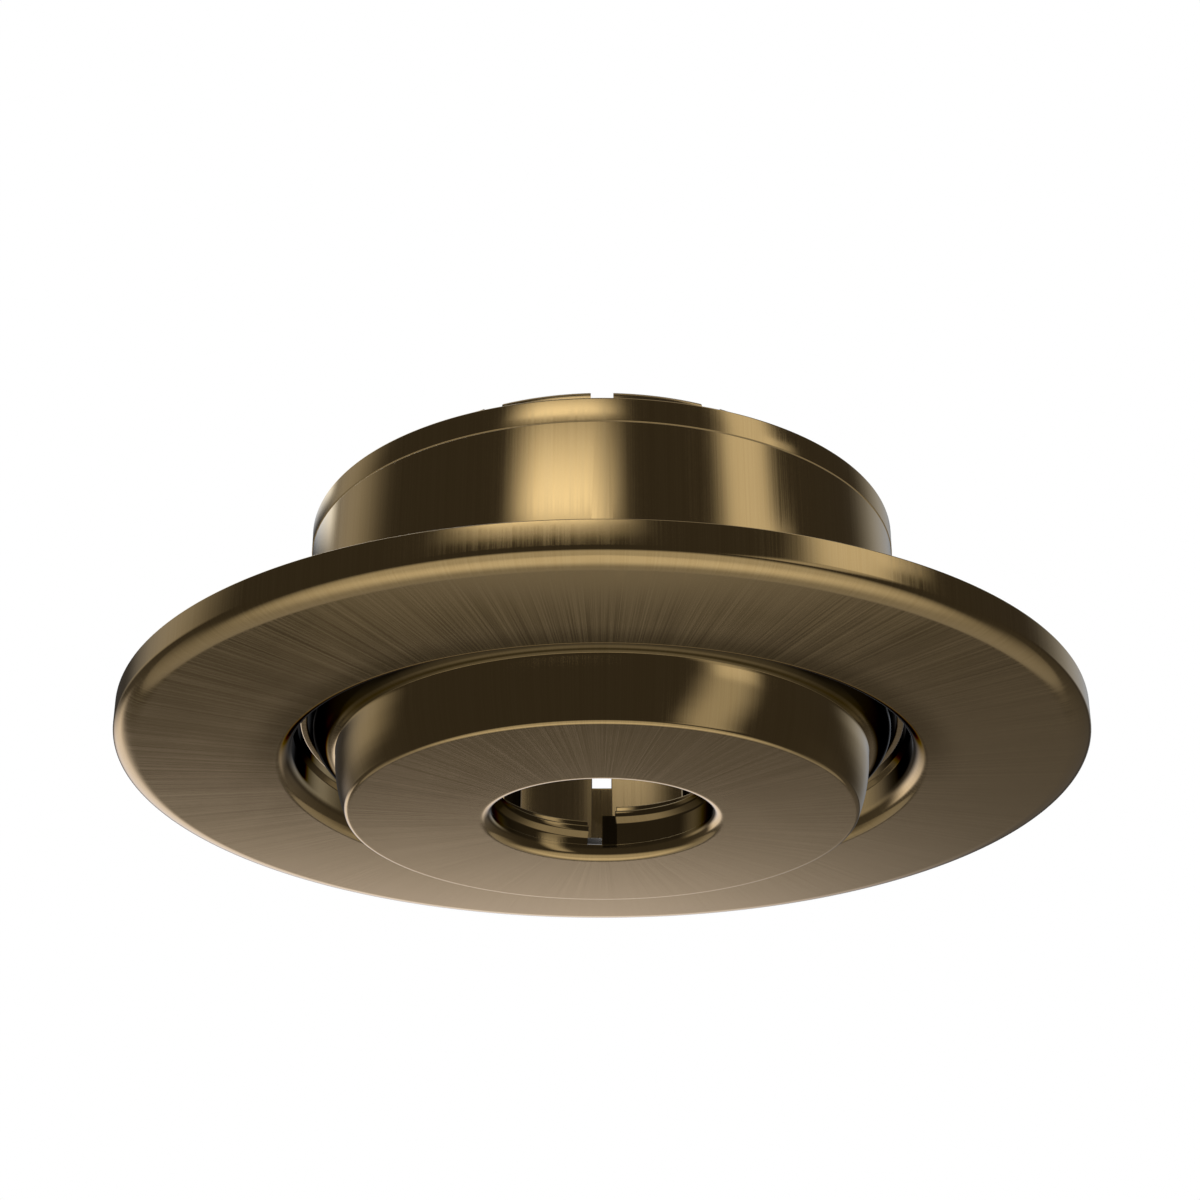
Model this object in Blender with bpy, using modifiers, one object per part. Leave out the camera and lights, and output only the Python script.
"""Round ceiling air diffuser for a 100 mm duct, with a slotted centre core that slides and turns.

Z is the axis and points up into the ceiling. The origin is the middle of the underside, where the
part would stand on a table, and the front is -Y. All heights are measured from the ceiling plane,
CEILING_Z above the origin. Lengths are in millimetres and multiplied by MM; angles are in degrees.
"""

import math

import bmesh
import bpy
from mathutils import Matrix, Vector

MM = 0.001
LARGE_STEPS = 48         # sides of a large turned part
SMALL_STEPS = 12         # sides of a fastener
GAP = 0.3                # clearance between touching parts
CEILING_Z = 12.67        # height of the ceiling plane above the origin
BACK = 90.0              # the angle of +Y
FIX_ANGLES = (30.0, 150.0, 270.0)    # places of the rivets, tabs and screws

# face ring
FLANGE_R = 77.5
FLANGE_T = 5.48
RIM_FILLET = 2.63
SHEET = 1.5
FLANGE_FLOOR = -FLANGE_T + SHEET
MOUTH_R = 52.25          # where the flat face ends and the lip begins
BORE_R = 50.0
LIP_H = 2.88
NECK_IN_R = 49.25
NECK_OUT_R = 51.2
NECK_TOP = 12.0
RECESS_R = 74.6

# spigot sleeve
SPIGOT_R = 48.95
SPIGOT_IN_R = 47.75
SPIGOT_BOTTOM = 2.0
SPIGOT_TOP = 32.2
SEAM_W = 5.0
TAB_IN_R = 42.0
TAB_OUT_R = (SPIGOT_R + SPIGOT_IN_R) / 2
TAB_W = 8.0
TAB_BOTTOM = 24.9
TAB_TOP = 26.7

# guide plate, the cap on the sleeve
CAP_R = 49.15
CAP_BOTTOM = SPIGOT_TOP + GAP
CAP_TOP = 36.3
CAP_CHAMFER = 0.3
SKIRT_OUT_R = 47.45
SKIRT_IN_R = 46.9
PLATE_BOTTOM = TAB_TOP + GAP
PLATE_TOP = 28.8
PLATE_BORE_R = 40.5
WINDOW_IN_R = 42.0
WINDOW_OUT_R = 45.6
WINDOW_HALF_ANGLE = 17.5
WINDOW_OFFSET = 20.5     # from the middle of a pair of windows to the middle of each
WINDOW_OVERCUT = 2.0

# fasteners
RIVET_Z = 8.0
RIVET_SEAT_R = 48.7
RIVET_HOLE_R = 1.8
SCREW_CIRCLE_R = 44.4
SCREW_HOLE_R = 1.55
WASHER_BOTTOM = PLATE_TOP + GAP
WASHER_TOP = WASHER_BOTTOM + 0.6
SCREW_HEAD_BOTTOM = WASHER_TOP + GAP
SCREW_TOP = 31.7
NUT_H = 2.0
NUT_Z = TAB_BOTTOM - GAP - NUT_H / 2

# guide ring and what it carries
GUIDE_IN_R = 38.3
GUIDE_R = 40.2
GUIDE_FLANGE_R = 41.6
GUIDE_BOTTOM = 22.4
GUIDE_TOP = 34.7
CLIP_BOTTOM = PLATE_TOP + GAP
CLIP_TOP = CLIP_BOTTOM + 1.0
CLIP_GROOVE_R = GUIDE_R - 0.8
FRICTION_GROOVE_R = 40.3
FRICTION_GROOVE_BOTTOM = 23.5
FRICTION_GROOVE_TOP = 25.9
FRICTION_SECTION_R = 0.85
KEY_OUT_R = 38.9
KEY_H = 8.3
KEY_Z = 30.2
KEY_SLOTS = (4, 11)      # the finger slots that hold a key, counted from the back

# centre cup
CUP_BOTTOM = -CEILING_Z
CUP_SHEET = 1.2
CUP_FLOOR = CUP_BOTTOM + CUP_SHEET
CUP_FILLET = 1.7
CUP_FLAT_R = 39.6        # where the flat underside ends
HOLE_R = 17.9
NECK_R = HOLE_R + 1.2
NECK_END_Z = -10.2
THREAD_RISE = 2.6
THREAD_BASE = -10.7
SLIT_HALF_ANGLE = 7.7

# (radius, z) from the skirt's top edge down its flare, the barrel-shaped wall and the rounded edge
CUP_OUTSIDE = [
    (46.8, 1.8), (46.6, 0.0), (45.9, -1.4), (44.7, -2.5), (43.5, -2.85), (43.05, -3.3),
    (43.08, -6.2), (42.9, -8.4), (42.3, -10.2), (41.4, -11.6), (40.6, -12.35),
]
# (radius, z) up the inner side from the floor to the skirt's top edge
CUP_INSIDE = [
    (40.6, -10.8), (41.5, -9.0), (41.85, -6.2), (41.85, -2.6),
    (43.6, -1.65), (44.9, -0.9), (45.5, 0.2), (45.6, 1.8),
]

# finger sleeve
FINGERS = 14
FINGER_PITCH = 360.0 / FINGERS
FINGER_R = 38.0
FINGER_IN_R = 36.8
HOOK_R = 39.66
HOOK_BOTTOM = 42.0
HOOK_TOP = 43.5
HOOK_CHAMFER = 0.3
SLOT_W = 3.5
SLOT_BOTTOM = 0.3
SLOT_TOP = 50.0
SLOT_LENGTH = 84.0       # right across the sleeve
FOOT_IN_R = HOLE_R + 1.9
FOOT_BOTTOM = CUP_FLOOR + GAP
FOOT_T = 1.2
FOOT_TOP = FOOT_BOTTOM + FOOT_T


# ---------------------------------------------------------------- scene and frames

for old in list(bpy.data.objects):
    bpy.data.objects.remove(old, do_unlink=True)


def collection(name):
    group = bpy.data.collections.new(name)
    bpy.context.scene.collection.children.link(group)
    return group


def frame(name, height, parent=None):
    empty = bpy.data.objects.new(name, None)
    empty.location = (0, 0, height * MM)
    empty.parent = parent
    parts.objects.link(empty)
    return empty


parts = collection("ceiling_air_diffuser")
cutters = collection("cutters")          # helpers that booleans cut away or add
ceiling_plane = frame("ceiling_plane", CEILING_Z)
turn_axis = frame("turn_axis", GUIDE_BOTTOM, ceiling_plane)    # the guide ring turns about Z here
slide_axis = frame("slide_axis", 0, ceiling_plane)             # the core slides along Z from here


# ---------------------------------------------------------------- materials

def make_material(name, colour, roughness, metallic):
    made = bpy.data.materials.new(name)
    made.use_nodes = True
    inputs = made.node_tree.nodes["Principled BSDF"].inputs
    inputs["Base Color"].default_value = (*colour, 1.0)
    inputs["Roughness"].default_value = roughness
    inputs["Metallic"].default_value = metallic
    made.diffuse_color = (*colour, 1.0)
    return made


brass = make_material("brushed_brass", colour=(0.52, 0.41, 0.25), roughness=0.34, metallic=1.0)
foam = make_material("gasket_foam", colour=(0.035, 0.035, 0.035), roughness=0.95, metallic=0.0)
steel = make_material("steel", colour=(0.55, 0.55, 0.54), roughness=0.35, metallic=1.0)
polymer = make_material("guide_polymer", colour=(0.03, 0.03, 0.032), roughness=0.5, metallic=0.0)
rubber = make_material("rubber", colour=(0.015, 0.015, 0.015), roughness=0.7, metallic=0.0)


# ---------------------------------------------------------------- helpers

def place(name, mesh, group=cutters, material=None, parent=None):
    obj = bpy.data.objects.new(name, mesh)
    group.objects.link(obj)
    if material:
        mesh.materials.append(material)
    obj.parent = parent or ceiling_plane
    if group is cutters:
        obj.hide_render = True
        obj.display_type = "WIRE"
    return obj


def place_solid(name, solid, **placing):
    """Turn a bmesh into an object."""
    mesh = bpy.data.meshes.new(name)
    solid.to_mesh(mesh)
    solid.free()
    return place(name, mesh, **placing)


def move(solid, offset):
    bmesh.ops.translate(solid, vec=Vector(offset) * MM, verts=solid.verts)


def rotate(solid, angle, axis="Z"):
    matrix = Matrix.Rotation(math.radians(angle), 3, axis)
    bmesh.ops.rotate(solid, cent=(0, 0, 0), matrix=matrix, verts=solid.verts)


def on_circle(radius, angle, height=0.0):
    """A location in metres at an angle about Z."""
    turn = math.radians(angle)
    return (radius * MM * math.cos(turn), radius * MM * math.sin(turn), height * MM)


def arc(centre_r, centre_z, radius_r, radius_z, start, end, steps):
    """Points of an elliptical arc in a profile, from one angle to another."""
    points = []
    for i in range(steps + 1):
        angle = math.radians(start + (end - start) * i / steps)
        points.append((centre_r + radius_r * math.cos(angle), centre_z + radius_z * math.sin(angle)))
    return points


def rectangle(inner, outer, bottom, top):
    return [(inner, bottom), (outer, bottom), (outer, top), (inner, top)]


def above_turn(profile):
    """A profile with its heights taken from the turn axis frame."""
    return [(radius, z - GUIDE_BOTTOM) for radius, z in profile]


def turned(name, profile, material, parent=None, closed=True, steps=LARGE_STEPS):
    """A lathe shape from (radius, z) points that run down its outer side.

    An open profile starts and ends on the axis.
    """
    mesh = bpy.data.meshes.new(name)
    count = len(profile)
    edges = [(i, i + 1) for i in range(count - 1)]
    if closed:
        edges.append((count - 1, 0))
    mesh.from_pydata([(radius * MM, 0.0, z * MM) for radius, z in profile], edges, [])
    obj = place(name, mesh, parts, material, parent)
    screw = obj.modifiers.new("turn", "SCREW")
    screw.axis = "Z"
    screw.angle = math.tau
    screw.steps = screw.render_steps = steps
    screw.use_merge_vertices = True
    screw.merge_threshold = 0.000002
    screw.use_smooth_shade = True
    return obj


def block(name, size, centre, angle=0.0):
    """A box whose centre is at a point that is then turned about Z."""
    solid = bmesh.new()
    bmesh.ops.create_cube(solid, size=1.0)
    bmesh.ops.scale(solid, vec=Vector(size) * MM, verts=solid.verts)
    move(solid, centre)
    rotate(solid, angle)
    return place_solid(name, solid)


def rod(name, radius, length, centre, angle, along_x=False, sides=SMALL_STEPS, **placing):
    """A cylinder along Z or X whose centre is at a point that is then turned about Z."""
    solid = bmesh.new()
    bmesh.ops.create_cone(solid, cap_ends=True, segments=sides,
                          radius1=radius * MM, radius2=radius * MM, depth=length * MM)
    if along_x:
        rotate(solid, 90.0, "Y")
    move(solid, centre)
    rotate(solid, angle)
    return place_solid(name, solid, **placing)


def swept(name, section, start, end, steps, **placing):
    """A capped loft about Z: section(t) gives the (radius, z) polygon as t runs from 0 to 1."""
    solid = bmesh.new()
    rings = []
    for i in range(steps + 1):
        t = i / steps
        angle = start + (end - start) * t
        rings.append([solid.verts.new(on_circle(radius, angle, z)) for radius, z in section(t)])
    count = len(rings[0])
    for ring, following in zip(rings, rings[1:]):
        for j in range(count):
            k = (j + 1) % count
            solid.faces.new((ring[j], ring[k], following[k], following[j]))
    solid.faces.new(rings[0][::-1])
    solid.faces.new(rings[-1])
    bmesh.ops.recalc_face_normals(solid, faces=solid.faces)
    return place_solid(name, solid, **placing)


def u_slot(name, angle):
    """A prism along X with a round bottom: it cuts a slot through two opposite finger walls."""
    half = SLOT_W / 2
    outline = [(-half, SLOT_TOP), *arc(0, SLOT_BOTTOM + half, half, half, 180, 360, 8),
               (half, SLOT_TOP)]
    solid = bmesh.new()
    face = solid.faces.new([solid.verts.new((-SLOT_LENGTH / 2 * MM, y * MM, z * MM))
                            for y, z in outline])
    extruded = bmesh.ops.extrude_face_region(solid, geom=[face])["geom"]
    far_end = [item for item in extruded if isinstance(item, bmesh.types.BMVert)]
    bmesh.ops.translate(solid, vec=(SLOT_LENGTH * MM, 0, 0), verts=far_end)
    rotate(solid, angle)
    bmesh.ops.recalc_face_normals(solid, faces=solid.faces)
    return place_solid(name, solid)


def boolean(obj, tool, operation="DIFFERENCE"):
    modifier = obj.modifiers.new(tool.name, "BOOLEAN")
    modifier.operation = operation
    modifier.solver = "EXACT"
    modifier.object = tool


# ---------------------------------------------------------------- fixed parts

def build_face_ring():
    return turned("face_ring", [
        (FLANGE_R, 0.0),
        *arc(FLANGE_R - RIM_FILLET, -FLANGE_T + RIM_FILLET, RIM_FILLET, RIM_FILLET, 0, -90, 4),
        *arc(MOUTH_R, -FLANGE_T + LIP_H, MOUTH_R - BORE_R, LIP_H, -90, -180, 4),
        (BORE_R, 0.4), (NECK_IN_R, 1.1), (NECK_IN_R, NECK_TOP), (NECK_OUT_R, NECK_TOP),
        (NECK_OUT_R, FLANGE_FLOOR), (RECESS_R, FLANGE_FLOOR), (RECESS_R, 0.0),
    ], brass)


def build_gasket():
    outer = RECESS_R - GAP * 2
    inner = NECK_OUT_R + 3.5
    bottom = FLANGE_FLOOR + GAP
    turned("ceiling_gasket", [(outer, 0.0), (outer, bottom), (inner, bottom), (inner, 0.0)], foam)


def build_spigot():
    """Sleeve with an open seam at the back and three tabs inside."""
    spigot = turned("spigot_sleeve", [
        (SPIGOT_R, SPIGOT_TOP), (SPIGOT_R, SPIGOT_BOTTOM),
        (SPIGOT_IN_R, SPIGOT_BOTTOM), (SPIGOT_IN_R, SPIGOT_TOP),
    ], brass)
    boolean(spigot, block("seam_cut", (SEAM_W, 12, 60), (0, SPIGOT_R, 15)))
    for number, angle in enumerate(FIX_ANGLES, 1):
        tab = block(f"tab_{number}", (TAB_OUT_R - TAB_IN_R, TAB_W, TAB_TOP - TAB_BOTTOM),
                    ((TAB_OUT_R + TAB_IN_R) / 2, 0, (TAB_BOTTOM + TAB_TOP) / 2), angle)
        boolean(spigot, tab, "UNION")
    return spigot


def build_guide_plate():
    """Cap with a sunken plate, pierced by a pair of windows between each two screws."""
    plate = turned("guide_plate", [
        (CAP_R, CAP_TOP - CAP_CHAMFER), (CAP_R, CAP_BOTTOM), (SKIRT_OUT_R, CAP_BOTTOM),
        (SKIRT_OUT_R, PLATE_BOTTOM), (PLATE_BORE_R, PLATE_BOTTOM), (PLATE_BORE_R, PLATE_TOP),
        (SKIRT_IN_R, PLATE_TOP), (SKIRT_IN_R, CAP_TOP), (CAP_R - CAP_CHAMFER, CAP_TOP),
    ], brass)
    section = rectangle(WINDOW_IN_R, WINDOW_OUT_R,
                        PLATE_BOTTOM - WINDOW_OVERCUT, PLATE_TOP + WINDOW_OVERCUT)
    for i in range(6):
        middle = BACK + 120.0 * (i // 2) + (WINDOW_OFFSET if i % 2 else -WINDOW_OFFSET)
        window = swept(f"window_{i + 1}", lambda t: section,
                       middle - WINDOW_HALF_ANGLE, middle + WINDOW_HALF_ANGLE, 5)
        boolean(plate, window)
    return plate


def drill_fixings(face_ring, spigot, plate):
    for number, angle in enumerate(FIX_ANGLES, 1):
        screw_hole = rod(f"screw_hole_{number}", SCREW_HOLE_R, 12,
                         (SCREW_CIRCLE_R, 0, (PLATE_BOTTOM + PLATE_TOP) / 2 - 1), angle)
        boolean(spigot, screw_hole)
        boolean(plate, screw_hole)
        rivet_hole = rod(f"rivet_hole_{number}", RIVET_HOLE_R, 8, (49.5, 0, RIVET_Z), angle,
                         along_x=True)
        boolean(spigot, rivet_hole)
        boolean(face_ring, rivet_hole)


def build_rivet(number, angle):
    """Blind rivet: dome outside the neck, shank, and a bulb in the sleeve that stops the cup."""
    rivet = turned(f"sleeve_rivet_{number}", [
        (0, 4.0), (1.6, 3.75), (3.0, 2.8), (1.5, 2.8), (1.5, -1.4),
        (2.4, -1.4), (2.4, -3.4), (1.6, -4.1), (0, -4.1),
    ], steel, closed=False, steps=SMALL_STEPS)
    rivet.rotation_euler = (0, math.pi / 2, math.radians(angle))
    rivet.location = on_circle(RIVET_SEAT_R, angle, RIVET_Z)


def build_plate_screw(number, angle):
    """Slotted screw with its washer above the plate and its nut below the tab."""
    screw = turned(f"plate_screw_{number}", [
        (0, SCREW_TOP), (1.2, 31.6), (2.0, 30.9), (2.0, SCREW_HEAD_BOTTOM),
        (1.25, SCREW_HEAD_BOTTOM), (1.25, 21.6), (0.9, 21.2), (0, 21.2),
    ], steel, closed=False, steps=SMALL_STEPS)
    slot = block(f"drive_slot_{number}", (5.0, 0.6, 1.4), (0, 0, SCREW_TOP), angle + 35.0 * number)
    boolean(screw, slot)
    washer = turned(f"plate_washer_{number}", [
        (2.2, WASHER_TOP), (2.2, WASHER_BOTTOM),
        (SCREW_HOLE_R, WASHER_BOTTOM), (SCREW_HOLE_R, WASHER_TOP),
    ], steel, steps=SMALL_STEPS)
    nut = rod(f"plate_nut_{number}", 2.3, NUT_H, (0, 0, NUT_Z), angle, sides=6,
              group=parts, material=steel)
    bore = rod(f"nut_bore_{number}", SCREW_HOLE_R, 2 * NUT_H, (0, 0, NUT_Z), angle)
    boolean(nut, bore)
    for obj in (screw, slot, washer, nut, bore):
        obj.location = on_circle(SCREW_CIRCLE_R, angle)


# ---------------------------------------------------------------- parts that turn

def build_guide_ring():
    """Ring with an outer clip groove, an inner friction groove and two keys in finger slots."""
    groove_top = CLIP_TOP + GAP
    guide = turned("guide_ring", above_turn([
        (GUIDE_R, GUIDE_TOP), (GUIDE_R, groove_top),
        (CLIP_GROOVE_R, groove_top), (CLIP_GROOVE_R, PLATE_TOP), (GUIDE_R, PLATE_TOP),
        (GUIDE_R, TAB_TOP), (GUIDE_FLANGE_R, TAB_TOP),
        (GUIDE_FLANGE_R, GUIDE_BOTTOM), (GUIDE_IN_R, GUIDE_BOTTOM),
        (GUIDE_IN_R, FRICTION_GROOVE_BOTTOM), (FRICTION_GROOVE_R, FRICTION_GROOVE_BOTTOM),
        (FRICTION_GROOVE_R, FRICTION_GROOVE_TOP), (GUIDE_IN_R, FRICTION_GROOVE_TOP),
        (GUIDE_IN_R, GUIDE_TOP),
    ]), polymer, turn_axis)
    for number, slot in enumerate(KEY_SLOTS, 1):
        key = block(f"guide_key_{number}", (KEY_OUT_R - FINGER_IN_R, SLOT_W - 2 * GAP, KEY_H),
                    ((KEY_OUT_R + FINGER_IN_R) / 2, 0, KEY_Z), BACK + slot * FINGER_PITCH)
        boolean(guide, key, "UNION")


def build_friction_ring():
    """Rubber ring of hexagonal section."""
    section = arc(GUIDE_IN_R + FRICTION_SECTION_R,
                  (FRICTION_GROOVE_BOTTOM + FRICTION_GROOVE_TOP) / 2,
                  FRICTION_SECTION_R, FRICTION_SECTION_R, 90, -210, 5)
    turned("friction_ring", above_turn(section), rubber, turn_axis, steps=36)


def build_retaining_ring():
    section = above_turn(rectangle(CLIP_GROOVE_R + GAP, GUIDE_FLANGE_R, CLIP_BOTTOM, CLIP_TOP))
    swept("retaining_ring", lambda t: section, 84.0, 84.0 + 352.0, 40,
          group=parts, material=steel, parent=turn_axis)


# ---------------------------------------------------------------- the sliding core

def build_finger_sleeve():
    fingers = turned("finger_sleeve", [
        (HOOK_R - HOOK_CHAMFER, HOOK_TOP), (HOOK_R, HOOK_TOP - HOOK_CHAMFER),
        (HOOK_R, HOOK_BOTTOM), (FINGER_R, HOOK_BOTTOM), (FINGER_R, FOOT_TOP),
        (FINGER_R - FOOT_T, FOOT_BOTTOM), (FOOT_IN_R, FOOT_BOTTOM), (FOOT_IN_R, FOOT_TOP),
        (FINGER_IN_R - 0.6, FOOT_TOP), (FINGER_IN_R, FOOT_TOP + 0.6), (FINGER_IN_R, HOOK_TOP),
    ], brass, slide_axis, steps=3 * FINGERS)
    for i in range(FINGERS // 2):
        boolean(fingers, u_slot(f"finger_slot_{i + 1}", BACK + i * FINGER_PITCH))


def thread_section(t):
    """Neck wall with its rolled lip, both rising by THREAD_RISE over the turn."""
    rise = THREAD_RISE * t
    inner = HOLE_R + 0.12
    outer = NECK_R - 0.12
    crest = HOLE_R - 1.1
    return [
        (outer, THREAD_BASE), (outer, -6.0 + rise), (inner, -6.0 + rise), (inner, -7.2 + rise),
        (crest, -7.2 + rise), (crest, -8.1 + rise), (inner, -9.0 + rise), (inner, THREAD_BASE),
    ]


def stop_section(t):
    inner = HOLE_R + 0.2
    outer = NECK_R - 0.2
    return [(outer, THREAD_BASE), (outer, -5.0), (inner, -5.0), (inner, THREAD_BASE)]


def build_centre_cup():
    """Cup with a threaded neck round its centre hole; the neck is slit at the back."""
    cup = turned("centre_cup", [
        *CUP_OUTSIDE,
        (CUP_FLAT_R, CUP_BOTTOM),
        *arc(HOLE_R + CUP_FILLET, CUP_BOTTOM + CUP_FILLET, CUP_FILLET, CUP_FILLET, -90, -180, 3),
        (HOLE_R, NECK_END_Z), (NECK_R, NECK_END_Z), (NECK_R, CUP_FLOOR + 0.5),
        (NECK_R + 0.5, CUP_FLOOR), (CUP_FLAT_R - 0.2, CUP_FLOOR),
        *CUP_INSIDE,
    ], brass, slide_axis)
    full_turn = BACK + 360
    thread_end = full_turn - SLIT_HALF_ANGLE
    thread = swept("thread_lip", thread_section, BACK + SLIT_HALF_ANGLE, thread_end, 26)
    boolean(cup, thread, "UNION")
    # the stop overlaps the thread's high end by 3 degrees and fills half of the slit
    stop = swept("thread_stop", stop_section, thread_end - 3, full_turn, 2)
    boolean(cup, stop, "UNION")


def build_lock_ring():
    bottom = FOOT_TOP + GAP
    turned("lock_ring", [
        (22.9, -8.9), (22.9, bottom), (NECK_R + GAP, bottom), (NECK_R + GAP, -8.5),
        (NECK_R + 1.5, -8.5),
    ], steel, slide_axis, steps=32)


def build_finger_spring():
    section = rectangle(35.7, FINGER_IN_R - GAP, 37.0, 41.0)
    swept("finger_spring", lambda t: section, 100.0, 448.0, 36,
          group=parts, material=steel, parent=slide_axis)


# ---------------------------------------------------------------- assembly

build_gasket()
drill_fixings(build_face_ring(), build_spigot(), build_guide_plate())
for number, angle in enumerate(FIX_ANGLES, 1):
    build_rivet(number, angle)
    build_plate_screw(number, angle)
build_guide_ring()
build_friction_ring()
build_retaining_ring()
build_finger_sleeve()
build_centre_cup()
build_lock_ring()
build_finger_spring()

# turned parts hold only a profile and are shaded by their modifier
for obj in parts.objects:
    if obj.type == "MESH" and obj.data.polygons:
        obj.data.shade_smooth()
        obj.data.set_sharp_from_angle(angle=math.radians(35.0))
